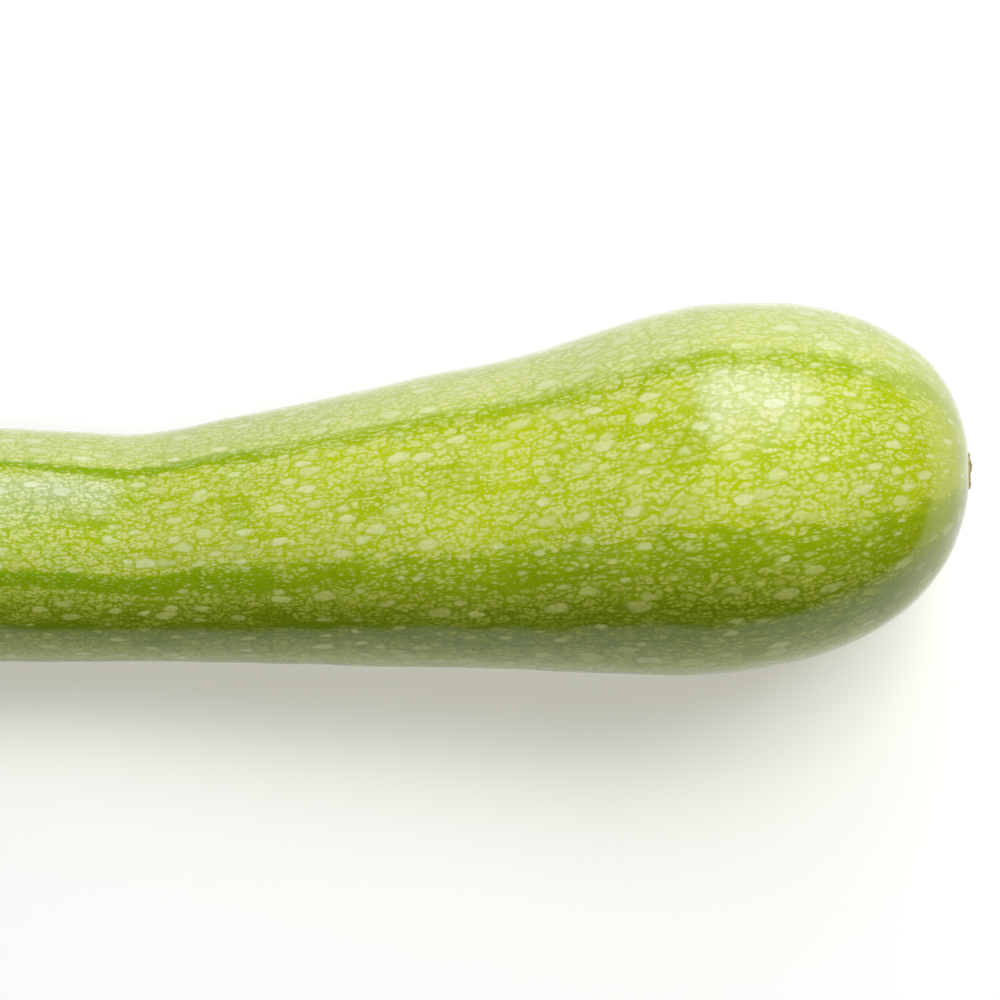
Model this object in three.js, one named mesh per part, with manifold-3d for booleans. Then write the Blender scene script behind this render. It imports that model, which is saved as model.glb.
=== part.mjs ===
// A courgette (zucchini), as picked: a pale, club-shaped fruit and the stub of its cut stem.
// Units are millimetres. The courgette lies on its side along X, stem towards -X and blossom end
// towards +X, and rests on the plane z = 0. The origin is under the middle of its bounding box.
import * as THREE from 'three';
import { mergeVertices } from 'three/addons/utils/BufferGeometryUtils.js';
import Module from 'manifold-3d';

const { lerp, degToRad } = THREE.MathUtils;

// Fruit. "Along" is the distance from the stem seat towards the blossom end.
const FRUIT_LENGTH = 208;
const SEAT_RADIUS = 10; // flat end of the shoulder, under the stem
const SHOULDER_ALONG = 23;
const SHOULDER_RADIUS = 21.2;
const SHOULDER_POWER = 2.2; // roundness of the shoulder: 2 is an ellipse, more is squarer
const BULGE_ALONG = 162;
const BULGE_RADIUS = 32.15;
const BLOSSOM_POWER = 2.36;
const HEIGHT_TO_WIDTH = 0.97; // the fruit is a little lower than it is wide

// The fruit between its shoulder and its bulge: along, radius, and sideways drift of the centre.
const BODY_STATIONS = [
  [SHOULDER_ALONG, SHOULDER_RADIUS, -9.3],
  [40, 20.6, -9.55],
  [54, 20.1, -9.95],
  [64, 19.9, -10.2],
  [75, 20.9, -9.2],
  [89, 22.3, -7.9],
  [116, 25.6, -5.3],
  [130, 27.2, -4.1],
  [144, 29.5, -2.2],
  [151, 30.75, -1.2],
  [156, 31.5, -0.6],
  [BULGE_ALONG, BULGE_RADIUS, 0.1],
];
const SEAT_SIDEWAYS = -8.3;
const BLOSSOM_SIDEWAYS = 3.2;
const SEAT_RISE = 1.5; // how far the seat's centre lies above the shoulder's
const BLOSSOM_DROP = 1.5; // how far the blossom end lies below the bulge's centre

// Underside: flat where it rests, at the shoulder and at the bulge, and arched between them.
const RESTING_FLAT_DEPTH = 0.4;
const WAIST_LIFT = 2.2;

// Shallow ribs, deepest at the shoulder. Every second one runs on into a ridge of the stem.
const RIB_COUNT = 10;
const RIB_DEPTH_SHOULDER = 0.022; // share of the radius
const RIB_DEPTH_BODY = 0.004;
const RIB_TURN = degToRad(18);

// Blossom scar: a low corky button that closes the blossom end.
const SCAR_RADIUS = 4;
const SCAR_HEIGHT = 0.4;

// Stem: five ridges, a foot that spreads over the fruit's shoulder, and a slanting cut.
const STEM_LENGTH = 27;
const STEM_ROOT = 3; // how deep its blank starts inside the fruit, before it is trimmed
const STEM_RADIUS = 8.6;
const STEM_FOOT_SPREAD = 5.2;
const STEM_FOOT_FADE = 3.4; // the foot's spread falls to a third over this distance
const STEM_END_SPREAD = 0.9;
const STEM_RIDGES = RIB_COUNT / 2;
const STEM_RIDGE_DEPTH = 0.24; // share of the radius, from groove to crest
const STEM_RIDGE_SHARPNESS = 1.2;
const STEM_BEND_SIDEWAYS = 4;
const STEM_BEND_UP = 3.5;
const STEM_CUT_SLANT = degToRad(9);
const STEM_GAP = 0.3; // clearance between the stem's foot and the fruit

// Facets.
const FRUIT_SIDES = 64;
const SHOULDER_RINGS = 9;
const BODY_RINGS = 26;
const BLOSSOM_RINGS = 14;
const STEM_SIDES = 50;
const STEM_RINGS = 14;

const wasm = await Module();
wasm.setup();

// A closed skin over rings of points, from low X to high X, each counter-clockwise seen from +X.
function loft(rings) {
  const sides = rings[0].length;
  const middle = (ring) => ring.reduce((sum, p) => sum.add(p), new THREE.Vector3()).divideScalar(sides);
  const points = [...rings.flat(), middle(rings[0]), middle(rings.at(-1))];
  const [startCap, endCap] = [points.length - 2, points.length - 1];
  const lastRing = (rings.length - 1) * sides;
  const triangles = [];
  for (let side = 0; side < sides; side++) {
    const next = (side + 1) % sides;
    triangles.push(startCap, next, side, endCap, lastRing + side, lastRing + next);
    for (let ring = 0; ring < rings.length - 1; ring++) {
      const [a, b] = [ring * sides + side, ring * sides + next];
      const [c, d] = [b + sides, a + sides];
      triangles.push(a, b, c, a, c, d);
    }
  }
  return new THREE.BufferGeometry().setFromPoints(points).setIndex(triangles);
}

function toSolid(geometry) {
  const merged = mergeVertices(geometry);
  return new wasm.Manifold(new wasm.Mesh({
    numProp: 3,
    vertProperties: merged.attributes.position.array,
    triVerts: new Uint32Array(merged.index.array),
  }));
}

function toGeometry(solid) {
  const { vertProperties, triVerts } = solid.getMesh();
  const geometry = new THREE.BufferGeometry();
  geometry.setAttribute('position', new THREE.BufferAttribute(vertProperties, 3));
  geometry.setIndex(new THREE.BufferAttribute(triVerts, 1));
  geometry.computeVertexNormals();
  return geometry;
}

// A point of the superellipse quarter from (1, 0) to (0, 1).
function superellipse(turn, power) {
  return [Math.cos(turn) ** (2 / power), Math.sin(turn) ** (2 / power)];
}

// Height of the fruit's centre where it rests on its underside.
const restingCentre = (radius) => radius * HEIGHT_TO_WIDTH - RESTING_FLAT_DEPTH;

// Shoulder: it opens from the seat in a superellipse.
function shoulderStations() {
  const bodySideways = BODY_STATIONS[0][2];
  const stations = [];
  for (let ring = 0; ring < SHOULDER_RINGS; ring++) {
    const turn = (ring / SHOULDER_RINGS) * Math.PI / 2;
    const [inward, open] = superellipse(turn, SHOULDER_POWER);
    stations.push({
      along: SHOULDER_ALONG * (1 - inward),
      radius: lerp(SEAT_RADIUS, SHOULDER_RADIUS, open),
      sideways: lerp(bodySideways, SEAT_SIDEWAYS, inward ** 2),
      up: restingCentre(SHOULDER_RADIUS) + SEAT_RISE * inward ** 2,
    });
  }
  return stations;
}

// Body: a smooth curve through its stations, with the underside arched.
function bodyStations() {
  const body = new THREE.CatmullRomCurve3(BODY_STATIONS.map((s) => new THREE.Vector3(...s)));
  const stations = [];
  for (let ring = 0; ring <= BODY_RINGS; ring++) {
    const { x: along, y: radius, z: sideways } = body.getPointAt(ring / BODY_RINGS);
    const share = (along - SHOULDER_ALONG) / (BULGE_ALONG - SHOULDER_ALONG);
    const lift = WAIST_LIFT * Math.sin(Math.PI * share) ** 2;
    stations.push({ along, radius, sideways, up: restingCentre(radius) + lift });
  }
  return stations;
}

// Blossom end: a blunt superellipse that stops at the scar, and the scar's button.
function blossomStations() {
  const bulgeSideways = BODY_STATIONS.at(-1)[2];
  const scarTurn = Math.acos((SCAR_RADIUS / BULGE_RADIUS) ** (BLOSSOM_POWER / 2));
  const stations = [];
  for (let ring = 1; ring <= BLOSSOM_RINGS; ring++) {
    const [narrowing, out] = superellipse((ring / BLOSSOM_RINGS) * scarTurn, BLOSSOM_POWER);
    stations.push({
      along: lerp(BULGE_ALONG, FRUIT_LENGTH, out),
      radius: BULGE_RADIUS * narrowing,
      sideways: lerp(bulgeSideways, BLOSSOM_SIDEWAYS, out),
      up: restingCentre(BULGE_RADIUS) - BLOSSOM_DROP * out ** 2,
    });
  }
  const rim = stations.at(-1);
  stations.push({ ...rim, along: rim.along + SCAR_HEIGHT, radius: rim.radius * 0.85 });
  return stations;
}

function fruitRing({ along, radius, sideways, up }) {
  const nearShoulder = Math.exp(-along / SHOULDER_ALONG);
  const ribDepth = lerp(RIB_DEPTH_BODY, RIB_DEPTH_SHOULDER, nearShoulder);
  return Array.from({ length: FRUIT_SIDES }, (_, side) => {
    const angle = (side / FRUIT_SIDES) * 2 * Math.PI;
    const r = radius * (1 + ribDepth * Math.cos(RIB_COUNT * (angle - RIB_TURN)));
    const z = up + r * HEIGHT_TO_WIDTH * Math.sin(angle);
    return new THREE.Vector3(along, sideways + r * Math.cos(angle), Math.max(z, 0));
  });
}

// The stem's blank, from the cut to inside the fruit. It is trimmed to the fruit afterwards.
function stemRings(seat) {
  const axis = new THREE.QuadraticBezierCurve3(
    seat.clone().add(new THREE.Vector3(STEM_ROOT, 0, 0)),
    seat.clone().add(new THREE.Vector3(-STEM_LENGTH / 2, 0, 0)),
    seat.clone().add(new THREE.Vector3(-STEM_LENGTH, STEM_BEND_SIDEWAYS, STEM_BEND_UP)),
  );
  const rings = [];
  for (let ring = STEM_RINGS; ring >= 0; ring--) {
    const share = ring / STEM_RINGS;
    const centre = axis.getPointAt(share);
    const outward = axis.getTangentAt(share);
    const across = outward.clone().cross(new THREE.Vector3(0, 0, 1)).normalize();
    const upward = across.clone().cross(outward);
    const beyondSeat = Math.max(0, seat.x - centre.x);
    const spread = STEM_FOOT_SPREAD * Math.exp(-beyondSeat / STEM_FOOT_FADE);
    const radius = STEM_RADIUS + spread + STEM_END_SPREAD * share ** 6;
    rings.push(Array.from({ length: STEM_SIDES }, (_, side) => {
      const angle = (side / STEM_SIDES) * 2 * Math.PI;
      const groove = Math.abs(Math.sin(STEM_RIDGES / 2 * (angle - RIB_TURN))) ** STEM_RIDGE_SHARPNESS;
      const r = radius * (1 + STEM_RIDGE_DEPTH * (0.5 - groove));
      const slant = Math.tan(STEM_CUT_SLANT) * r * Math.sin(angle) * share ** 2;
      return centre.clone()
        .addScaledVector(across, r * Math.cos(angle))
        .addScaledVector(upward, r * Math.sin(angle))
        .addScaledVector(outward, slant);
    }));
  }
  return rings;
}

function fruitSolid() {
  const stations = [...shoulderStations(), ...bodyStations(), ...blossomStations()];
  return toSolid(loft(stations.map(fruitRing)));
}

function stemSolid(fruit) {
  const seatUp = restingCentre(SHOULDER_RADIUS) + SEAT_RISE;
  const blank = toSolid(loft(stemRings(new THREE.Vector3(0, SEAT_SIDEWAYS, seatUp))));
  return blank.subtract(fruit.translate([-STEM_GAP, 0, 0]));
}

function mesh(name, solid, color, roughness) {
  const material = new THREE.MeshStandardMaterial({ color, roughness, metalness: 0 });
  const named = new THREE.Mesh(toGeometry(solid), material);
  named.name = name;
  return named;
}

const fruit = fruitSolid();
const courgette = new THREE.Group();
courgette.add(mesh('fruit', fruit, 0xa9c33a, 0.3));
courgette.add(mesh('stem', stemSolid(fruit), 0x7f9a45, 0.6));
const middle = new THREE.Box3().setFromObject(courgette).getCenter(new THREE.Vector3());
courgette.position.set(-middle.x, -middle.y, 0);

export default courgette;
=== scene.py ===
"""A speckled courgette, dressed over its CAD frame and laid on a plain white table."""

import math

import bpy
import numpy as np
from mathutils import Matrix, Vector
from mathutils.bvhtree import BVHTree


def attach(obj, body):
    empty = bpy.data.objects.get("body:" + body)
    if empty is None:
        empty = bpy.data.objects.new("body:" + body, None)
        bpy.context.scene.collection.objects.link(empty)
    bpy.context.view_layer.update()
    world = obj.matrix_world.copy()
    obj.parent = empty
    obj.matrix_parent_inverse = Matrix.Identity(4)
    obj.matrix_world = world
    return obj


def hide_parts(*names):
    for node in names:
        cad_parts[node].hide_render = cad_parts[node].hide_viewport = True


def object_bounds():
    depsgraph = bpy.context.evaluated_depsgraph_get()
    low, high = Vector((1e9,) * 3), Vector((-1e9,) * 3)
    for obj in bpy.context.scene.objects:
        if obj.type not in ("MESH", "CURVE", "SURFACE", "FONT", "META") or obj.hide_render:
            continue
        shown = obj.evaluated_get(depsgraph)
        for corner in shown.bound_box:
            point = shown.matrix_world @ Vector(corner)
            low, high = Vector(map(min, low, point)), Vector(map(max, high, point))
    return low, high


MM = 0.001
UV_MAP = "OFBake"  # the map that the materials are baked on

# Fruit mesh: rings round the fruit. At each end they fan out from one centre, and between the
# ends they are slices.
SIDES = 320
SCAR_RINGS = 24
BLOSSOM_RINGS = 46
BODY_RINGS = 150
SHOULDER_RINGS = 44
BLOSSOM_END_SHARE = 0.155  # where the fans are centred, as shares of the fruit's length
STEM_END_SHARE = 0.1
BLOSSOM_CROWDING = 1.15  # above 1, the rings of the blossom end crowd towards the scar
END_DEPTH = 0.05 * MM  # points this near to the tip of an end belong to its flat face
SLICE_DEPTH = 4 * MM  # points within about this distance of a slice count for its centre
FRUIT_REACH = 60 * MM  # rays start this far out, well outside the fruit
SMOOTH_ALONG = 3 * MM  # width of the smoothing from ring to ring
SMOOTH_AROUND = 20  # harmonics kept round the fruit
PRESS = 0.25 * MM  # how far the underside settles on the table
PRESS_HEIGHT = 2 * MM  # the skin above this height doesn't settle

# Scar: the corky button at the blossom end, with a lip, a nub and a groove round it.
SCAR_RADIUS = 3.4 * MM
SCAR_FAN = math.radians(8)  # its rings fan out to this angle
SCAR_RAGGEDNESS = 0.25 * MM
BUTTON_HEIGHT = 0.06 * MM
LIP_HEIGHT = 0.16 * MM
LIP_WIDTH = 0.3 * MM
NUB_PLACE = np.array([0, 0.9, 0.3]) * MM  # from the middle of the scar
NUB_HEIGHT = 0.35 * MM
NUB_WIDTH = 0.75 * MM
GROOVE_DEPTH = 0.12 * MM
GROOVE_WIDTH = 0.8 * MM

# Stem mesh: rings along its bent axis, and rings over its cut.
STEM_SIDES = 200
STEM_RINGS = 110
CUT_RINGS = 26
CUT_SHARES = np.arange(CUT_RINGS + 1) / (CUT_RINGS + 0.7)  # from 0 at the rim to nearly 1
CUT_DEPTH = 8 * MM  # the slanting cut lies within this distance of the stem's tip
STEM_REACH = 40 * MM  # rays start this far out, well outside the stem
STEM_TOE = 3.4 * MM  # how far its foot runs over the fruit's shoulder
TUCK = 0.6 * MM  # how far the foot's edge dives under the skin
STEM_SMOOTHING = 0.35 * MM
FIBRES_FROM = 0.12  # share of the stem's length where its fibres are at their full height
ROUNDED_FROM = 0.985  # share of the stem's length where its edge begins to be rounded
RIM_ROUNDING = 0.25 * MM
FIBRE_COUNTS = (35, 48, 67)  # of three sets of ribs round the stem
FIBRE_HEIGHT = 0.1 * MM
FIBRE_WANDER = 14 * MM  # wavelength of the ribs' sideways wander
BOWL_DEPTH = 0.9 * MM  # how far the middle of the cut has sunk
RIM_STEP = 0.25 * MM  # how far its flesh has sunk inside the rim
STRAND_HEIGHT = 0.22 * MM
STRAND_SHARE = 0.3  # where the strands lie on the cut, and how wide their band is
STRAND_WIDTH = 0.07

# Relief, as pairs of a wavelength and a height.
FRUIT_RELIEF = ((34 * MM, 0.1 * MM), (12 * MM, 0.035 * MM))
CORK_RELIEF = ((0.9 * MM, 0.07 * MM), (2.4 * MM, 0.06 * MM))
STEM_RELIEF = ((1.6 * MM, 0.05 * MM), (7 * MM, 0.12 * MM))
CUT_RELIEF = ((0.8 * MM, 0.07 * MM), (3 * MM, 0.1 * MM))

# Patterns, in millimetres. They are laid out on a cylinder for the fruit and on one for the stem.
SKIN_RADIUS = 30.0
BARK_RADIUS = 9.0
SMALL_CELLS = (1.05, 0.7)  # length and width
DASHES = (1.584, 0.66)
GROUPS = (4.84, 2.2)  # of small cells, between seams
SPOTS = (2.7, 1.8)
BLOTCHES = (7.6, 3.8)

# Where looks set in: none of it at the first place, and all of it at the second.
SPREADING = (60.0, 130.0)  # of the stripes, by the distance from the stem
BLOSSOM_LOOK = (36.0, 14.0)  # by the distance from the scar
WIDER_SIDE = (0.3, -0.1)  # of the stripes, by the turn from the fruit's top, in radians
# Painted shade: the side turned away from the light is darker and greener between these turns.
PAINTED_SHADE_SIDE = (-0.15, -0.65)
PAINTED_SHADE_END = (-1.4, -0.85)

# Stripes. One strong and one faint stripe lie at these turns from the fruit's top.
STRIPE_PAIRS = 6
STRIPE_TURN = math.radians(42)
FAINT_TURN = math.radians(14)

# Camera and table, in metres. Shares are of the courgette's length.
CAMERA_HEIGHT = 0.9  # over the level of the outline
CAMERA_SIDEWAYS = -2 * MM
SENSOR_WIDTH = 36  # in millimetres
SEEN_SHARE = 0.725  # what the picture's width shows
MARGIN_SHARE = 0.022  # between the blossom end and the picture's edge
TABLE_HALF = 0.5

# Lights: the way to them from the courgette, and about how bright they make a white face that is
# turned towards them, as long as their edges aren't softened.
SOFTBOX = {"distance": 0.65, "size": (0.62, 0.85)}
LIGHTS = {
    "softbox": {"way": (0.1, 0.8, 0.6), "brightness": 0.51, "colour": (0.96, 0.93, 1.2), **SOFTBOX},
    "shine": {"way": (0.14, 0.8, 0.6), "brightness": 0.52, "colour": (0.87, 0.77, 1.75), **SOFTBOX},
    "far_fill": {
        "way": (0.45, 0.47, 1), "brightness": 0.77, "colour": (1.0, 1.01, 0.86),
        "distance": 1.1, "size": (0.6, 0.46),
    },
    "top_fill": {
        "way": (0, -0.15, 1), "brightness": 0.34, "colour": (1.0, 0.97, 0.8),
        "distance": 1.1, "size": (0.25, 0.25),
    },
}


# ---------------------------------------------------------------- shapes


def solid(node):
    """A CAD node as a tree to cast rays on."""
    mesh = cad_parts[node].data
    points = [v.co.copy() for v in mesh.vertices]
    return BVHTree.FromPolygons(points, [tuple(p.vertices) for p in mesh.polygons])


def vertices(node):
    """A CAD node's points, one a row."""
    return np.array([v.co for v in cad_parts[node].data.vertices])


def end_middles(points):
    """Middles of the flat faces at the low and the high end along X."""
    x = points[:, 0]
    low_face = points[x < x.min() + END_DEPTH]
    high_face = points[x > x.max() - END_DEPTH]
    return low_face.mean(axis=0), high_face.mean(axis=0)


def unit(vectors):
    """The same directions, at length 1."""
    return vectors / np.linalg.norm(vectors, axis=-1, keepdims=True)


def bell(value, middle, width):
    """1 at the middle, and fading on both sides of it."""
    return np.exp(-0.5 * ((value - middle) / width) ** 2)


def smoothstep(low, high, value):
    """Goes smoothly from 0 to 1 as value goes from low to high."""
    t = np.clip((value - low) / (high - low), 0, 1)
    return t * t * (3 - 2 * t)


def waves(points, wavelength, rng, count=40):
    """Smooth seeded noise of about unit height, with swells of about that wavelength."""
    total = np.zeros(points.shape[:-1])
    for _ in range(count):
        way = rng.normal(size=3)
        way *= 2 * math.pi / (wavelength * rng.uniform(0.7, 1.5) * np.linalg.norm(way))
        total += np.sin(points @ way + rng.uniform(0, 2 * math.pi))
    return total / math.sqrt(count / 2)


def unevenness(points, relief, rng):
    """Noise in metres, from pairs of a wavelength and a height."""
    return sum(height * waves(points, wavelength, rng) for wavelength, height in relief)


def radii_seen_from_outside(tree, centres, ways, reach):
    """How far the solid reaches from each centre along each way, or nan where it doesn't."""
    radii = np.full(ways.shape[:-1], np.nan)
    for ring, ring_ways in enumerate(ways):
        centre = Vector(centres[ring])
        for side, way in enumerate(ring_ways):
            way = Vector(way)
            hit = tree.ray_cast(centre + way * reach, -way, reach)
            if hit[0] is not None:
                radii[ring, side] = reach - hit[3]
    return radii


def surface_points(centres, ways, radii):
    """Rings of points, at those radii from their centres."""
    return centres[:, None] + ways * radii[..., None]


def ring_distances(points):
    """Distance along the skin from the first ring to each ring, averaged round it."""
    steps = np.linalg.norm(np.diff(points, axis=0), axis=2).mean(axis=1)
    return np.concatenate([[0], np.cumsum(steps)])


def weighted_means(values, weights):
    """Means of the rows of values, one for each row of weights."""
    return (weights / weights.sum(axis=1, keepdims=True)) @ values


def smooth_along(values, distances, sigma):
    """Gaussian smoothing from ring to ring, running on over each end to the opposite side."""
    half = values.shape[1] // 2
    over = np.roll(values, half, axis=1)
    stacked = np.vstack([over[::-1], values, over[::-1]])
    last = distances[-1]
    places = np.concatenate([-distances[::-1], distances, 2 * last - distances[::-1]])
    weights = bell(distances[:, None], places[None], sigma) * np.gradient(places)
    return weighted_means(stacked, weights)


def smooth_around(values, harmonics):
    """Leaves out what varies more than so many times round each ring."""
    spectrum = np.fft.rfft(values, axis=1)
    keep = smoothstep(harmonics * 1.3, harmonics * 0.8, np.arange(spectrum.shape[1]))
    return np.fft.irfft(spectrum * keep, n=values.shape[1], axis=1)


def grid_faces(rings, sides):
    """Quads between neighbouring rings."""
    ring, side = np.meshgrid(np.arange(rings - 1), np.arange(sides), indexing="ij")
    here = ring * sides + side
    beside = ring * sides + (side + 1) % sides
    return np.stack([here, beside, beside + sides, here + sides], axis=-1).reshape(-1, 4)


def fan_faces(first, sides, pole):
    """Triangles between the pole and the ring of points that starts at first."""
    side = np.arange(sides)
    return np.stack([first + side, first + (side + 1) % sides, np.full(sides, pole)], axis=-1)


def new_object(name, data):
    """An object with that data, in the scene."""
    thing = bpy.data.objects.new(name, data)
    bpy.context.scene.collection.objects.link(thing)
    return thing


def mesh_piece(name, points, faces, uvs, attributes, material):
    """A smooth-shaded object. uvs has one pair for each face corner."""
    mesh = bpy.data.meshes.new(name)
    mesh.from_pydata(points.tolist(), [], faces)
    layer = mesh.uv_layers.new(name=UV_MAP)
    layer.data.foreach_set("uv", np.asarray(uvs, np.float32).ravel())
    for key, values in attributes.items():
        attribute = mesh.attributes.new(key, "FLOAT_VECTOR", "POINT")
        attribute.data.foreach_set("vector", np.asarray(values, np.float32).ravel())
    mesh.polygons.foreach_set("use_smooth", np.ones(len(mesh.polygons), bool))
    mesh.validate()
    mesh.materials.append(material)
    return new_object(name, mesh)


# ---------------------------------------------------------------- fruit


def fruit_skeleton():
    """Centres, axes and fan angles of the fruit's rings, from the blossom end to the stem."""
    points = vertices("fruit")
    low_x, high_x = points[:, 0].min(), points[:, 0].max()
    seat, scar = end_middles(points)

    def centre_at(x):
        weights = bell(points[:, 0], x, SLICE_DEPTH)
        middle = (points * weights[:, None]).sum(axis=0) / weights.sum()
        return np.array([x, middle[1], middle[2]])

    blossom = centre_at(high_x - BLOSSOM_END_SHARE * (high_x - low_x))
    shoulder = centre_at(low_x + STEM_END_SHARE * (high_x - low_x))
    slices = [centre_at(x) for x in np.linspace(blossom[0], shoulder[0], BODY_RINGS)]
    blossom_axis = unit(scar - blossom)
    stem_axis = unit(seat - shoulder)

    scar_fan = SCAR_FAN * (np.arange(SCAR_RINGS) + 0.5) / SCAR_RINGS
    blossom_share = np.arange(BLOSSOM_RINGS) / BLOSSOM_RINGS
    blossom_fan = SCAR_FAN + (math.pi / 2 - SCAR_FAN) * blossom_share**BLOSSOM_CROWDING
    right_angles = np.full(BODY_RINGS, math.pi / 2)
    stem_fan = (math.pi / 2) * (1 - (np.arange(SHOULDER_RINGS) + 1) / (SHOULDER_RINGS + 1))

    end_rings = SCAR_RINGS + BLOSSOM_RINGS
    centres = [blossom] * end_rings + slices + [shoulder] * SHOULDER_RINGS
    axes = [blossom_axis] * (end_rings + BODY_RINGS) + [stem_axis] * SHOULDER_RINGS
    fans = np.concatenate([scar_fan, blossom_fan, right_angles, stem_fan])
    return np.array(centres), np.array(axes), fans


def scar_relief(points, pole, rng):
    """Height of the corky scar over the skin, and each point's rough distance from its middle."""
    off = np.linalg.norm(points - pole, axis=-1)
    off_nub = np.linalg.norm(points - (pole + NUB_PLACE), axis=-1)
    ragged = off + SCAR_RAGGEDNESS * waves(points, 2.2 * MM, rng)
    button = smoothstep(SCAR_RADIUS * 1.06, SCAR_RADIUS * 0.9, ragged)
    lip = LIP_HEIGHT * bell(ragged, SCAR_RADIUS * 0.86, LIP_WIDTH)
    nub = NUB_HEIGHT * bell(off_nub, 0, NUB_WIDTH)
    cork = unevenness(points, CORK_RELIEF, rng)
    groove = GROOVE_DEPTH * bell(off, SCAR_RADIUS * 1.35, GROOVE_WIDTH)
    return button * (BUTTON_HEIGHT + lip + nub + cork) - groove, ragged


def fruit_rings(turns, rng):
    """The skin's points, ring by ring, and how far each is from the scar."""
    centres, axes, fans = fruit_skeleton()
    spokes = np.stack([np.zeros(SIDES), np.cos(turns), np.sin(turns)], axis=-1)
    forward = axes[:, None] * np.cos(fans)[:, None, None]
    ways = unit(forward + spokes * np.sin(fans)[:, None, None])

    radii = radii_seen_from_outside(solid("fruit"), centres, ways, FRUIT_REACH)
    distances = ring_distances(surface_points(centres, ways, radii))
    radii = smooth_around(smooth_along(radii, distances, SMOOTH_ALONG), SMOOTH_AROUND)
    points = surface_points(centres, ways, radii)

    radii += unevenness(points, FRUIT_RELIEF, rng)
    pole = surface_points(centres[:1], ways[:1], radii[:1]).mean(axis=(0, 1))
    relief, off_scar = scar_relief(points, pole, rng)
    points = surface_points(centres, ways, radii + relief)
    settled = smoothstep(PRESS_HEIGHT, 0, points[..., 2]) * PRESS
    points[..., 2] = np.maximum(points[..., 2] - settled, 0)
    return points, off_scar


def make_fruit(material):
    """The skin, from rings of points and a fan of triangles over each end."""
    turns = -math.pi / 2 + 2 * math.pi * np.arange(SIDES) / SIDES
    points, off_scar = fruit_rings(turns, np.random.default_rng(11))
    rings = len(points)
    flat = np.vstack([points.reshape(-1, 3), points[0].mean(axis=0), points[-1].mean(axis=0)])
    blossom_fan = fan_faces(0, SIDES, len(flat) - 2)[:, [0, 2, 1]]
    stem_fan = fan_faces((rings - 1) * SIDES, SIDES, len(flat) - 1)
    faces = grid_faces(rings, SIDES).tolist() + blossom_fan.tolist() + stem_fan.tolist()

    distances = ring_distances(points)
    uvs = fruit_uvs(rings, distances / distances[-1])
    skin, ends = skin_coordinates(points, distances, turns, off_scar)
    return mesh_piece("skin", flat, faces, uvs, {"skin": skin, "ends": ends}, material)


def fruit_uvs(rings, along):
    """The skin unrolled: round the fruit along U, split underneath, and its length along V."""
    margin = 0.005
    ring, side = np.meshgrid(np.arange(rings - 1), np.arange(SIDES), indexing="ij")
    here, beside = side / SIDES, (side + 1) / SIDES
    near, far = along[ring], along[ring + 1]
    quads = np.stack([here, near, beside, near, beside, far, here, far], axis=-1).reshape(-1, 2)
    side = np.arange(SIDES) / SIDES
    nil, one = np.zeros(SIDES), np.ones(SIDES)
    half, whole = side + 0.5 / SIDES, side + 1 / SIDES
    first = np.stack([side, nil, half, nil, whole, nil], axis=-1).reshape(-1, 2)
    last = np.stack([side, one, whole, one, half, one], axis=-1).reshape(-1, 2)
    return margin + (1 - 2 * margin) * np.vstack([quads, first, last])


def skin_coordinates(points, distances, turns, off_scar):
    """Where each point lies on the pattern's cylinder, and how far it is from scar and stem.

    Where the fruit is thin the cells are narrower, so the pattern runs faster along it too, and
    they nearly keep their shape.
    """
    stretch_power = 0.6
    across = points - points.mean(axis=1, keepdims=True)
    mean_radius = np.linalg.norm(across, axis=-1).mean(axis=1) / MM
    stretch = (SKIN_RADIUS / np.maximum(mean_radius, 0.3 * SKIN_RADIUS)) ** stretch_power
    along = np.cumsum(np.diff(distances, prepend=0) / MM * stretch)
    to_stem = (distances[-1] - distances) / MM

    nil = np.zeros((len(points), SIDES))
    out_y = SKIN_RADIUS * np.cos(turns)
    out_z = SKIN_RADIUS * np.sin(turns)
    skin = np.stack([along[:, None] + nil, out_y + nil, out_z + nil], axis=-1).reshape(-1, 3)
    ends = np.stack([off_scar / MM, to_stem[:, None] + nil, nil], axis=-1).reshape(-1, 3)
    skin = np.vstack([skin, [[along[0], 0, 0], [along[-1], 0, 0]]])
    ends = np.vstack([ends, [[0, to_stem[0], 0], [to_stem[0], 0, 0]]])
    return skin, ends


# ---------------------------------------------------------------- stem


def cut_face():
    """Centre and outward normal of the stem's cut."""
    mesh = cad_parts["stem"].data
    end_x = min(v.co.x for v in mesh.vertices) + CUT_DEPTH
    cut = [p for p in mesh.polygons if p.center.x < end_x and p.normal.x < -0.9]
    centre = sum((p.center * p.area for p in cut), Vector())
    normal = sum((p.normal * p.area for p in cut), Vector())
    return np.array(centre / sum(p.area for p in cut)), np.array(normal.normalized())


def stem_skeleton(share, turns, cut, cut_normal):
    """Centres of the stem's rings, from under its foot to its cut, and the ways out from them."""
    seat, _ = end_middles(vertices("fruit"))
    knee = np.array([(seat[0] + cut[0]) / 2, seat[1], seat[2]])
    root = seat + np.array([STEM_TOE, 0, 0])
    centres = (1 - share) ** 2 * root + 2 * share * (1 - share) * knee + share**2 * cut
    tangents = unit(2 * (1 - share) * (knee - root) + 2 * share * (cut - knee))
    normals = unit(tangents + (cut_normal - tangents[-1]) * share**2)
    across = unit(np.cross(normals, [0, 0, 1]))
    upward = np.cross(across, normals)
    ways = across[:, None] * np.cos(turns)[:, None] + upward[:, None] * np.sin(turns)[:, None]
    return centres, ways


def stem_radii(centres, ways, cut_normal):
    """How far the stem reaches from each centre, or else to just under the fruit's skin."""
    inside = centres.copy()
    inside[-1] -= cut_normal * 0.1 * MM
    of_stem = radii_seen_from_outside(solid("stem"), inside, ways, STEM_REACH)
    of_fruit = radii_seen_from_outside(solid("fruit"), inside, ways, STEM_REACH)
    under = np.nan_to_num(of_fruit) - TUCK
    radii = np.maximum(np.nan_to_num(of_stem), under)
    radii[0] = under[0]
    return radii


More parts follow.
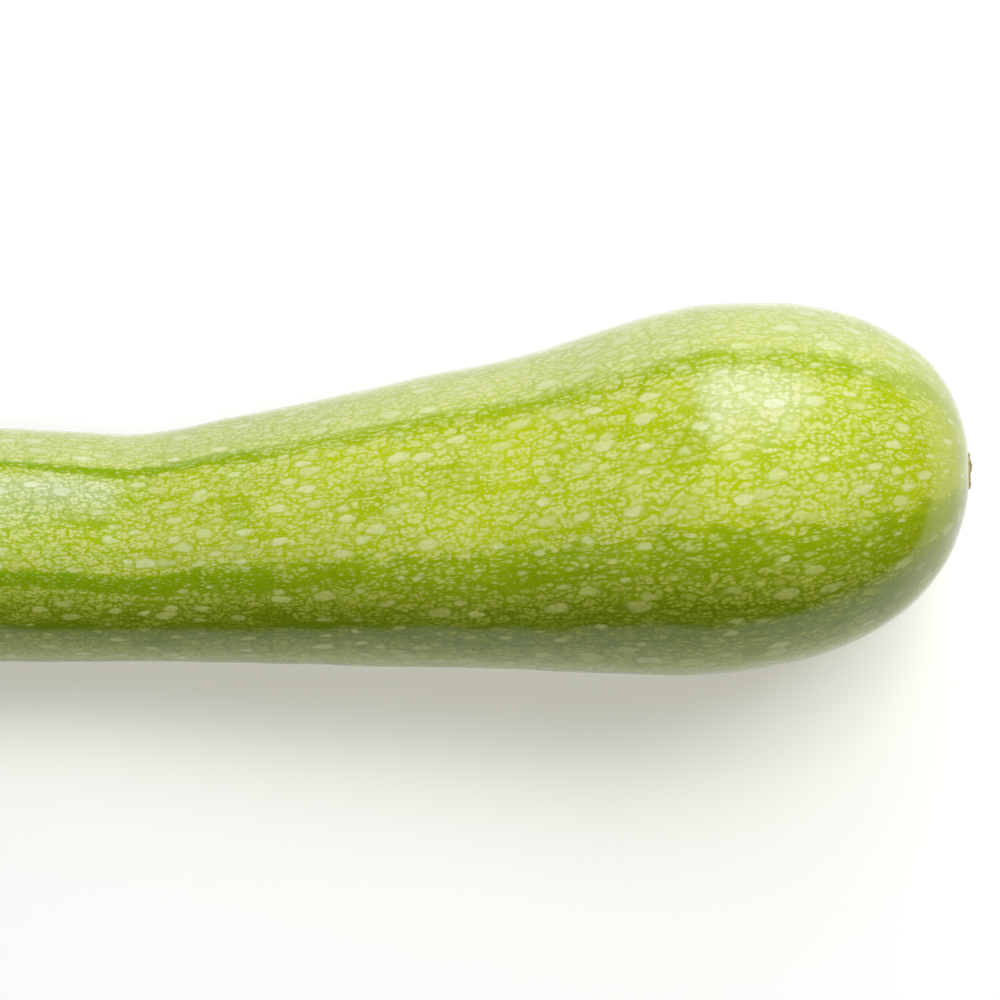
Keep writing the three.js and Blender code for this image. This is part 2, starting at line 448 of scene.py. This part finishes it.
def smooth_to_cut(values, lengths):
    """Gaussian smoothing from ring to ring, with the last ring repeated beyond the cut."""
    extra_rings = 12
    spacing = 0.25 * MM
    padded = np.vstack([values, np.repeat(values[-1:], extra_rings, axis=0)])
    beyond = lengths[-1] + (np.arange(extra_rings) + 1) * spacing
    places = np.concatenate([lengths, beyond])
    return weighted_means(padded, bell(lengths[:, None], places[None], STEM_SMOOTHING))


def stem_fibres(points, turns, rng):
    """Fine lengthwise ribs, and small bumps, in metres."""
    ribs = np.zeros(points.shape[:-1])
    for count in FIBRE_COUNTS:
        wander = 0.5 * waves(points, FIBRE_WANDER, rng)
        ribs += np.cos(count * turns + rng.uniform(0, 2 * math.pi) + wander)
    return FIBRE_HEIGHT * ribs / len(FIBRE_COUNTS) + unevenness(points, STEM_RELIEF, rng)


def stem_cut(rim, centre, normal, turns, rng):
    """The cut face, from its rim to its middle: a thin skin, fibrous flesh and ten strands.

    Its points come with their places: 1 for the stem's end, how far inward they lie, and how much
    they belong to a strand.
    """
    first_five = np.maximum(np.cos(5 * turns + 0.5 * math.pi), 0) ** 4
    strands = first_five + np.maximum(-np.cos(5 * turns), 0) ** 4
    ones = np.ones(STEM_SIDES)
    rings, places = [], []
    for inward in CUT_SHARES[1:]:
        points = rim + (centre - rim) * inward
        strand = bell(inward, STRAND_SHARE, STRAND_WIDTH) * strands
        rough = unevenness(points, CUT_RELIEF, rng) * smoothstep(0, 0.1, inward)
        sunk = BOWL_DEPTH * smoothstep(0.55, 0.95, inward)
        sunk += RIM_STEP * smoothstep(0.02, 0.12, inward)
        height = STRAND_HEIGHT * strand + rough - sunk
        rings.append(points + normal * height[:, None])
        places.append(np.stack([ones, inward * ones, strand], axis=-1))
    return np.array(rings), np.array(places)


def make_stem(material):
    """The stem's stub, from rings of points along it and over its cut."""
    rng = np.random.default_rng(5)
    turns = 2 * math.pi * np.arange(STEM_SIDES) / STEM_SIDES
    share = np.linspace(0, 1, STEM_RINGS)[:, None]
    cut, cut_normal = cut_face()
    centres, ways = stem_skeleton(share, turns, cut, cut_normal)
    radii = stem_radii(centres, ways, cut_normal)
    lengths = ring_distances(surface_points(centres, ways, radii))
    radii = smooth_to_cut(radii, lengths)
    fibres = stem_fibres(surface_points(centres, ways, radii), turns, rng)
    at_rim = 1 - smoothstep(1, ROUNDED_FROM, share)
    radii += fibres * smoothstep(0, FIBRES_FROM, share) - at_rim * RIM_ROUNDING
    side_rings = surface_points(centres, ways, radii)
    cut_rings, cut_places = stem_cut(side_rings[-1], cut, cut_normal, turns, rng)

    rings = np.vstack([side_rings, cut_rings])
    flat = np.vstack([rings.reshape(-1, 3), [rings[-1].mean(axis=0)]])
    fan = fan_faces((len(rings) - 1) * STEM_SIDES, STEM_SIDES, len(flat) - 1)
    faces = grid_faces(len(rings), STEM_SIDES).tolist() + fan.tolist()

    nil = np.zeros((STEM_RINGS, STEM_SIDES))
    side_places = np.stack([share + nil, nil, nil], axis=-1)
    places = np.vstack([side_places.reshape(-1, 3), cut_places.reshape(-1, 3), [[1, 1, 0]]])
    attributes = {"stem": places, "bark": bark_coordinates(lengths, turns)}
    uvs = stem_uvs(lengths / lengths[-1])
    return mesh_piece("stem_stub", flat, faces, uvs, attributes, material)


def bark_coordinates(lengths, turns):
    """Where each point lies on the bark pattern's cylinder, or on the flat end of it."""
    along = np.append(lengths, np.full(CUT_RINGS, lengths[-1]))[:, None] / MM
    out = BARK_RADIUS * (1 - np.append(np.zeros(STEM_RINGS), CUT_SHARES[1:]))[:, None]
    bark = np.stack([along + 0 * turns, out * np.cos(turns), out * np.sin(turns)], axis=-1)
    return np.vstack([bark.reshape(-1, 3), [[along[-1, 0], 0, 0]]])


def stem_uvs(along):
    """The stem's side unrolled in the lower part of the map, and its cut as a disc above."""
    margin = 0.01
    side_height = 0.71
    disc_centre = (0.5, 0.87)
    disc_radius = 0.115
    corners = []

    def on_disc(ring, side):
        angle = 2 * math.pi * side / STEM_SIDES
        reach = disc_radius * (1 - CUT_SHARES[ring])
        return disc_centre[0] + reach * math.cos(angle), disc_centre[1] + reach * math.sin(angle)

    for ring in range(STEM_RINGS - 1):
        low = margin + side_height * along[ring]
        high = margin + side_height * along[ring + 1]
        for side in range(STEM_SIDES):
            here, beside = side / STEM_SIDES, (side + 1) / STEM_SIDES
            corners += [(here, low), (beside, low), (beside, high), (here, high)]
    for ring in range(CUT_RINGS):
        for side in range(STEM_SIDES):
            corners += [on_disc(ring, side), on_disc(ring, side + 1)]
            corners += [on_disc(ring + 1, side + 1), on_disc(ring + 1, side)]
    for side in range(STEM_SIDES):
        corners += [on_disc(CUT_RINGS, side), on_disc(CUT_RINGS, side + 1), disc_centre]
    return corners


# ---------------------------------------------------------------- nodes


class Graph:
    """A tree of nodes. Inputs are numbers, colours or the output sockets of other nodes."""

    def __init__(self, tree):
        self.tree = tree

    def feed(self, socket, value):
        """Links an input socket to an output, or sets it to a constant."""
        if isinstance(value, bpy.types.NodeSocket):
            self.tree.links.new(value, socket)
        else:
            socket.default_value = value

    def add(self, kind, inputs, **settings):
        """A new node, with its inputs by name or number."""
        node = self.tree.nodes.new("ShaderNode" + kind)
        for key, value in settings.items():
            setattr(node, key, value)
        for key, value in inputs.items():
            self.feed(node.inputs[key], value)
        return node

    def math(self, operation, *values):
        return self.add("Math", dict(enumerate(values)), operation=operation).outputs[0]

    def vector(self, operation, *values):
        return self.add("VectorMath", dict(enumerate(values)), operation=operation).outputs[0]

    def plus(self, base, value, factor):
        """The base plus the value times the factor."""
        return self.math("MULTIPLY_ADD", value, factor, base)

    def between(self, share, none, full):
        """Goes straight from none to full as share goes from 0 to 1."""
        return self.math("MULTIPLY_ADD", share, full - none, none)

    def step(self, value, low, high, least=0.0, most=1.0):
        """Goes smoothly from least to most as value goes from low to high."""
        inputs = {"Value": value, "From Min": low, "From Max": high, "To Min": least, "To Max": most}
        return self.add("MapRange", inputs, interpolation_type="SMOOTHSTEP").outputs[0]

    def stretch(self, place, along, around):
        """A place on the unrolled skin, with its two coordinates multiplied."""
        return self.vector("MULTIPLY", place, (along, around, 0.0))

    def mix(self, factor, first, second):
        """A mix of two colours."""
        return self.add("Mix", {0: factor, 6: first, 7: second}, data_type="RGBA").outputs[2]

    def noise(self, place, size, detail=2.0, roughness=0.5, output="Fac"):
        """Noise with swells of about that size, in the place's own units."""
        inputs = {"Vector": place, "Scale": 1 / size, "Detail": detail, "Roughness": roughness}
        return self.add("TexNoise", inputs).outputs[output]

    def split(self, vector):
        return self.add("SeparateXYZ", {0: vector}).outputs

    def attribute(self, name):
        return self.add("Attribute", {}, attribute_name=name).outputs["Vector"]


class Material(Graph):
    """A material with one shader."""

    def __init__(self, name):
        self.material = bpy.data.materials.new(name)
        self.material.use_nodes = True
        super().__init__(self.material.node_tree)

    def set(self, name, value):
        """Links an input of the shader, or sets it to a constant."""
        self.feed(self.tree.nodes["Principled BSDF"].inputs[name], value)

    def set_bump(self, height, strength, distance):
        inputs = {"Height": height, "Strength": strength, "Distance": distance}
        self.set("Normal", self.add("Bump", inputs).outputs[0])


def rgb(red, green, blue):
    """A colour given in display values from 0 to 255, as the shader takes it."""
    shares = [value / 255 for value in (red, green, blue)]
    linear = [s / 12.92 if s <= 0.04045 else ((s + 0.055) / 1.055) ** 2.4 for s in shares]
    return (*linear, 1.0)


# ---------------------------------------------------------------- skin material


def sway(g, place, size, reach):
    """A push of up to that reach either way, that swells over that size."""
    colour = g.noise(place, size, detail=1.0, output="Color")
    return g.vector("MULTIPLY", g.vector("SUBTRACT", colour, (0.5, 0.5, 0.5)), (2 * reach,) * 3)


def cells(g, place, size, randomness=1.0, feature="F1"):
    """Random cells of about that length and width. Distances and places come in cells."""
    length, width = size
    vector = g.stretch(place, 1 / length, 1 / width)
    inputs = {"Vector": vector, "Scale": 1.0, "Randomness": randomness}
    return g.add("TexVoronoi", inputs, voronoi_dimensions="2D", feature=feature).outputs


def spots(g, place, size, share, radius, soft, rim, shrink):
    """Pale spots in a share of the cells, and the same spots with a green rim round them.

    The radius, the softness of the edge and the rim are in cells. Where shrink nears 1 the
    spots dwindle to nothing.
    """
    cell = cells(g, place, size)
    dice = g.split(cell["Color"])
    reach = g.between(dice[1], radius * 0.65, radius * 1.35)
    reach = g.math("MULTIPLY", reach, g.math("SUBTRACT", 1.0, shrink))
    depth = g.math("SUBTRACT", reach, cell["Distance"])
    present = g.math("LESS_THAN", dice[0], share)
    spot = g.math("MULTIPLY", g.step(depth, -soft, soft), present)
    rimmed = g.math("MULTIPLY", g.step(depth, -soft - rim, -soft), present)
    return g.math("MULTIPLY", spot, g.between(dice[2], 0.52, 0.92)), rimmed


def cobbles(g, place, size, shrink):
    """Pale soft cells that fill the skin, with green lines between them that widen with shrink.

    Each cell comes with the place of its centre.
    """
    cell = cells(g, place, size, randomness=0.85)
    reach = g.between(shrink, 0.68, 0.18)
    pale = g.step(cell["Distance"], reach, g.math("SUBTRACT", reach, 0.46))
    haze = g.step(shrink, 0.6, 0.0, most=0.12)
    return g.plus(haze, pale, 0.76), g.stretch(cell["Position"], *size)


def seams(g, place, size):
    """Thin green lines that gather the small cells into groups."""
    place = g.vector("ADD", place, sway(g, place, size=1.2, reach=0.45))
    edge_distance = cells(g, place, size, feature="DISTANCE_TO_EDGE")["Distance"]
    return g.step(edge_distance, 0.13, 0.02)


def streaks(g, place, warped, striped):
    """Broken green lines along the fruit, and more of them in the stripes."""
    level = g.noise(g.stretch(warped, 1 / 9, 1.0), size=2.6, detail=1.0)
    line = g.step(g.math("ABSOLUTE", g.math("SUBTRACT", level, 0.5)), 0.05, 0.015)
    broken = g.noise(g.stretch(place, 0.4, 1.0), size=3.5, detail=1.0)
    return g.math("MULTIPLY", line, g.step(g.plus(broken, striped, 0.2), 0.42, 0.58))


def stripe_waves(g, turn, phase):
    """Waves round the fruit, with a stripe at the top of each."""
    return g.math("COSINE", g.math("MULTIPLY_ADD", turn, STRIPE_PAIRS, -STRIPE_PAIRS * phase))


def stripes(g, place, turn, spread, blossom):
    """Dark lengthwise stripes, strong and faint by turns, and painted shade on the side away from
    the light.

    They are narrow and dark towards the stem. Where spread is 1, over the thick part, they are wide
    and faded, and they darken again where they meet at the blossom end.
    """
    drawn_out = g.stretch(place, 1.0, 0.15)
    patch = g.noise(drawn_out, size=15.0)
    turn = g.math("ADD", turn, g.between(g.noise(drawn_out, size=34.0), -0.1, 0.1))
    ragged = g.noise(g.stretch(place, 0.5, 1.0), size=2.4, detail=3.0)
    wobble = g.math("MULTIPLY", g.between(spread, 0.04, 0.34), g.math("SUBTRACT", ragged, 0.5))
    turn = g.math("ADD", turn, wobble)
    wider = g.step(turn, *WIDER_SIDE)
    turn = g.plus(turn, g.math("MULTIPLY", wider, spread), 0.05)
    # Painted shade: darker and greener on the side turned away from the light.
    painted_shade = g.math("MULTIPLY", g.step(turn, *PAINTED_SHADE_SIDE), g.step(turn, *PAINTED_SHADE_END))

    edge = g.plus(g.between(wider, 0.945, 0.815), spread, g.between(wider, -0.25, -0.45))
    fade = g.plus(g.plus(g.between(wider, 0.75, 0.95), spread, -0.3), blossom, 0.3)
    strong = g.math("MULTIPLY", g.step(stripe_waves(g, turn, STRIPE_TURN), edge, 0.985), fade)
    strong = g.math("MULTIPLY", strong, g.step(patch, 0.3, 0.5, least=0.6))

    faint = g.step(stripe_waves(g, turn, FAINT_TURN), g.between(spread, 0.8, 0.4), 1.0, most=0.8)
    faint = g.math("MULTIPLY", faint, g.step(g.plus(patch, painted_shade, 0.3), 0.45, 0.6))
    return strong, faint, painted_shade


def cell_shrink(g, place, warped, striped, spread, blossom):
    """How far the cells give way to green: in stripes, seams and streaks and at the blossom end."""
    crowd = g.step(g.noise(place, size=9.0, detail=1.0), 0.35, 0.7, least=-0.05, most=0.1)
    shrink = g.plus(g.plus(crowd, seams(g, warped, GROUPS), 0.6), blossom, 0.5)
    shrink = g.plus(shrink, striped, g.between(spread, 0.54, 0.34))
    return g.plus(shrink, streaks(g, place, warped, striped), 0.6)


def net(g, warped, striped, painted_shade, shrink):
    """Small cells all over the skin, which turn to dashes in the stripes, and their centres."""
    fleck = g.noise(warped, size=1.4, detail=1.0)
    shrink = g.plus(g.math("SUBTRACT", shrink, 0.41), fleck, 0.6)
    # Painted shade also narrows the pale cells on the side turned away from the light.
    shrink = g.plus(shrink, painted_shade, 0.1)
    tiny, centre = cobbles(g, warped, SMALL_CELLS, g.math("MINIMUM", shrink, 0.78))
    dashed_shrink = g.math("MINIMUM", g.math("ADD", shrink, 0.2), 0.9)
    dashes, _ = cobbles(g, warped, DASHES, dashed_shrink)
    inputs = {0: g.step(striped, 0.3, 0.6), 2: tiny, 3: dashes}
    return g.add("Mix", inputs, data_type="FLOAT").outputs[0], centre


def speckles(g, place, strong, faint, painted_shade, spread, blossom):
    """Pale marks, from 0 to 1: small ones, which are cells and spots, and large blotches."""
    warped = g.vector("ADD", place, sway(g, place, size=6.0, reach=0.9))
    warped = g.vector("ADD", warped, sway(g, place, size=0.9, reach=0.2))
    striped = g.math("MAXIMUM", strong, g.math("MULTIPLY", faint, 0.6))
    shrink = cell_shrink(g, place, warped, striped, spread, blossom)
    tiny, centre = net(g, warped, striped, painted_shade, shrink)

    medium, medium_rim = spots(
        g, warped, SPOTS, share=0.4, radius=0.32, soft=0.2, rim=0.1, shrink=shrink
    )
    # Drawn towards the small cells' centres, so that the blotches' edges follow whole cells.
    half_way = g.vector("MULTIPLY", g.vector("SUBTRACT", warped, centre), (0.5, 0.5, 0.5))
    drawn = g.vector("ADD", centre, half_way)
    large_shrink = g.plus(g.math("MULTIPLY", faint, 0.5), strong, 0.9)
    large, large_rim = spots(
        g, drawn, BLOTCHES, share=0.65, radius=0.23, soft=0.07, rim=0.07, shrink=large_shrink
    )
    tiny = g.math("MULTIPLY", tiny, g.between(medium_rim, 0.95, 0.5))
    large = g.math("MULTIPLY", large, g.between(tiny, 0.85, 1.15))
    small = g.math("MULTIPLY", g.math("MAXIMUM", tiny, medium), g.between(large_rim, 1.0, 0.35))
    return small, large


def ground_colour(g, place, strong, faint, painted_shade, spread, blossom):
    """The greens between the pale marks."""
    tone = g.step(g.noise(place, size=22.0, detail=3.0), 0.3, 0.7, most=0.5)
    green = rgb(138, 165, 2)
    lime = rgb(168, 183, 8)
    ground = g.mix(g.plus(tone, spread, 0.5), green, lime)
    # The third tint is painted shade: darker green on the side turned away from the light.
    tints = [
        (strong, 0.95, rgb(116, 150, 0)),
        (faint, 0.35, rgb(124, 152, 2)),
        (painted_shade, 0.95, rgb(97, 120, 0)),
        (blossom, 0.45, rgb(172, 178, 12)),
    ]
    for presence, amount, tint in tints:
        ground = g.mix(g.math("MULTIPLY", presence, amount), ground, tint)
    return ground


def skin_material():
    """Yellow-green skin, netted between pale spots, with stripes and a corky scar."""
    g = Material("skin")
    skin = g.attribute("skin")
    along, out_y, out_z = g.split(skin)[:3]
    off_scar, to_stem = g.split(g.attribute("ends"))[:2]
    turn = g.math("ARCTAN2", out_y, out_z)
    place = g.add("CombineXYZ", {0: along, 1: g.math("MULTIPLY", turn, SKIN_RADIUS)}).outputs[0]
    spread = g.step(to_stem, *SPREADING)
    blossom = g.step(off_scar, *BLOSSOM_LOOK)
    rim = SCAR_RADIUS / MM
    scar = g.step(off_scar, rim * 1.08, rim * 0.95)
    crumbs = g.noise(skin, size=0.5, detail=4.0, roughness=0.65)

    strong, faint, painted_shade = stripes(g, place, turn, spread, blossom)
    small, large = speckles(g, place, strong, faint, painted_shade, spread, blossom)
    ground = ground_colour(g, place, strong, faint, painted_shade, spread, blossom)
    # The pale marks' darker, greener copies on the side turned away from the light are painted
    # shade.
    speck = g.mix(painted_shade, rgb(198, 204, 132), rgb(156, 166, 60))
    blotch = g.mix(painted_shade, rgb(201, 208, 154), rgb(181, 187, 108))
    colour = g.mix(large, g.mix(small, ground, speck), blotch)
    # Painted reflection of the white table: the flank turned towards the light is paler and bluer.
    painted_reflection = g.step(g.math("DIVIDE", out_y, SKIN_RADIUS), 0.68, 0.85, most=0.26)
    colour = g.mix(painted_reflection, colour, rgb(175, 182, 144))
    beside_scar = g.step(off_scar, rim * 1.7, rim)
    colour = g.mix(beside_scar, colour, rgb(186, 192, 110))
    brown = rgb(118, 92, 52)
    tan = rgb(196, 172, 118)
    cork = g.mix(g.step(crumbs, 0.35, 0.7), brown, tan)
    g.set("Base Color", g.mix(scar, colour, cork))

    skin_gloss(g, place, g.math("MAXIMUM", small, large), scar)
    skin_grain(g, place, crumbs, scar)
    return g.material


def skin_gloss(g, place, pale, scar):
    """A waxy gloss, a little duller on the pale marks, and a dull scar."""
    roughness = g.between(g.noise(place, size=4.0), 0.07, 0.15)
    roughness = g.plus(roughness, pale, 0.03)
    g.set("Roughness", g.plus(roughness, scar, 0.5))
    g.set("IOR", 1.54)


def skin_grain(g, place, crumbs, scar):
    """Pores and a lengthwise grain in the skin, and a crumbly scar."""
    pores = g.noise(place, size=0.45)
    grain = g.noise(g.stretch(place, 0.25, 1.0), size=0.9, detail=1.0)
    height = g.plus(g.math("MULTIPLY", grain, 1.6), pores, 0.8)
    height = g.plus(height, g.math("MULTIPLY", crumbs, scar), 6.0)
    g.set_bump(height, strength=0.6, distance=0.02 * MM)


# ---------------------------------------------------------------- stem and table materials


def bark_colour(g, bark, share, fibre):
    """Green with paler fibres and blotches, and brighter at the foot."""
    blotch = g.noise(bark, size=5.0, detail=3.0)
    green = g.mix(g.step(fibre, 0.3, 0.7), rgb(98, 124, 40), rgb(156, 176, 86))
    green = g.mix(g.step(blotch, 0.45, 0.75, most=0.5), green, rgb(170, 182, 104))
    return g.mix(g.step(share, 0.3, 0.02, most=0.6), green, rgb(150, 172, 60))


def flesh_colour(g, flecks, inward, strand):
    """Pale flecked flesh with a green rim, browner strands and a browner middle."""
    flesh = g.mix(g.step(flecks, 0.3, 0.7), rgb(186, 194, 122), rgb(224, 222, 168))
    flesh = g.mix(g.step(inward, 0.1, 0.02), flesh, rgb(110, 132, 52))
    flesh = g.mix(g.math("MULTIPLY", strand, 0.6), flesh, rgb(164, 142, 80))
    return g.mix(g.step(inward, 0.6, 0.95, most=0.4), flesh, rgb(168, 156, 92))


def stem_material():
    """Fibrous green stem, and a drying cut face."""
    g = Material("stem")
    share, inward, strand = g.split(g.attribute("stem"))[:3]
    bark = g.attribute("bark")
    drawn_out = g.vector("MULTIPLY", bark, (0.1, 1.0, 1.0))
    fibre = g.noise(drawn_out, size=0.6, detail=4.0, roughness=0.6)
    flecks = g.noise(bark, size=0.5, detail=4.0, roughness=0.65)
    green = bark_colour(g, bark, share, fibre)
    flesh = flesh_colour(g, flecks, inward, strand)
    g.set("Base Color", g.mix(g.step(inward, 0.0, 0.03), green, flesh))
    g.set("Roughness", g.between(fibre, 0.45, 0.65))
    g.set_bump(g.plus(fibre, flecks, 0.5), strength=0.7, distance=0.15 * MM)
    return g.material


def table_material():
    """Matt and white, with a blue tint that makes up for the warm fills, and a weak glow."""
    g = Material("table")
    place = g.add("TexCoord", {}).outputs["Object"]
    tone = g.noise(place, size=0.3)
    g.set("Base Color", g.mix(tone, (0.76, 0.765, 0.86, 1), (0.78, 0.785, 0.88, 1)))
    g.set("Roughness", 0.6)
    g.set("Specular IOR Level", 0.15)
    g.set("Emission Color", (1.0, 0.96, 0.9, 1))
    g.set("Emission Strength", 0.19)
    return g.material


# ---------------------------------------------------------------- stage


def make_camera(low, high):
    """Looks straight down on the thick end, so that the frame's left edge cuts the neck."""
    length = high.x - low.x
    seen_width = SEEN_SHARE * length
    middle_x = high.x + MARGIN_SHARE * length - seen_width / 2
    camera = bpy.data.cameras.new("camera")
    camera.sensor_width = SENSOR_WIDTH
    camera.lens = SENSOR_WIDTH * CAMERA_HEIGHT / seen_width
    camera.clip_end = 20
    holder = new_object("camera", camera)
    outline_level = (high.z - low.z) / 2
    holder.location = (middle_x, CAMERA_SIDEWAYS, outline_level + CAMERA_HEIGHT)
    bpy.context.scene.camera = holder


def make_table():
    """A square that the courgette lies on."""
    mesh = bpy.data.meshes.new("table")
    corners = [(-1, -1), (1, -1), (1, 1), (-1, 1)]
    mesh.from_pydata([(x * TABLE_HALF, y * TABLE_HALF, 0) for x, y in corners], [], [(0, 1, 2, 3)])
    mesh.materials.append(table_material())
    table = new_object("table", mesh)


def make_light(name, target, way, brightness, colour, distance, size):
    """A rectangular light that faces the target."""
    light = bpy.data.lights.new(name, "AREA")
    light.shape = "RECTANGLE"
    light.size, light.size_y = size
    light.energy = math.pi**2 * brightness * distance**2
    light.color = colour
    way = Vector(way).normalized()
    holder = new_object(name, light)
    holder.location = target + way * distance
    holder.rotation_euler = way.to_track_quat("Z", "Y").to_euler()
    holder.visible_camera = False
    return holder


def soften_edges(light):
    """Fades a rectangular light from a brighter middle towards its edges."""
    light.use_nodes = True
    g = Graph(light.node_tree)
    emission = next(node for node in g.tree.nodes if node.type == "EMISSION")
    place = g.add("NewGeometry", {}).outputs["Parametric"]
    off_centre = g.add("VectorMath", {0: place, 1: (0.5, 0.5, 0)}, operation="DISTANCE")
    fade = g.step(off_centre.outputs["Value"], 0.5, 0.15, most=2.6)
    g.feed(emission.inputs["Strength"], fade)


def make_lights(target):
    """A softbox beyond the courgette, its shine on the skin, and two soft fills from overhead."""
    lights = {name: make_light(name, target, **settings) for name, settings in LIGHTS.items()}
    for name in ("softbox", "shine"):
        soften_edges(lights[name].data)
    lights["shine"].visible_diffuse = False
    for name in ("softbox", "far_fill", "top_fill"):
        lights[name].visible_glossy = False


def make_world():
    """White to the camera. To the courgette, a dim room."""
    world = bpy.data.worlds.new("room")
    bpy.context.scene.world = world
    world.use_nodes = True
    world.node_tree.nodes.clear()
    g = Graph(world.node_tree)
    path = g.add("LightPath", {}).outputs

    def white(strength):
        return g.add("Background", {"Color": (1, 1, 1, 1), "Strength": strength}).outputs[0]

    def choose(ray, otherwise, then):
        return g.add("MixShader", {0: path[ray], 1: otherwise, 2: then}).outputs[0]

    room = choose("Is Glossy Ray", white(0.05), white(0.03))
    g.add("OutputWorld", {"Surface": choose("Is Camera Ray", room, white(1.0))})


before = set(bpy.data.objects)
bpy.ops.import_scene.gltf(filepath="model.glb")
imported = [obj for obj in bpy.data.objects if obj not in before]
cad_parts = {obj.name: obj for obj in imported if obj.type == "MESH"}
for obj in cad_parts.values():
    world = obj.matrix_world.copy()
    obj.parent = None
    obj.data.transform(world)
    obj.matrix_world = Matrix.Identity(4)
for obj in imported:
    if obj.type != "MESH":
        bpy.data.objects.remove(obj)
cad_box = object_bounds()
low, high = cad_box
make_camera(low, high)

fruit = make_fruit(skin_material())
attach(fruit, "root")
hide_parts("fruit")

stem = make_stem(stem_material())
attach(stem, "root")
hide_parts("stem")

make_table()
make_lights(Vector((0, 0, (high.z - low.z) / 2)))
make_world()
bpy.context.scene.view_settings.view_transform = "Standard"
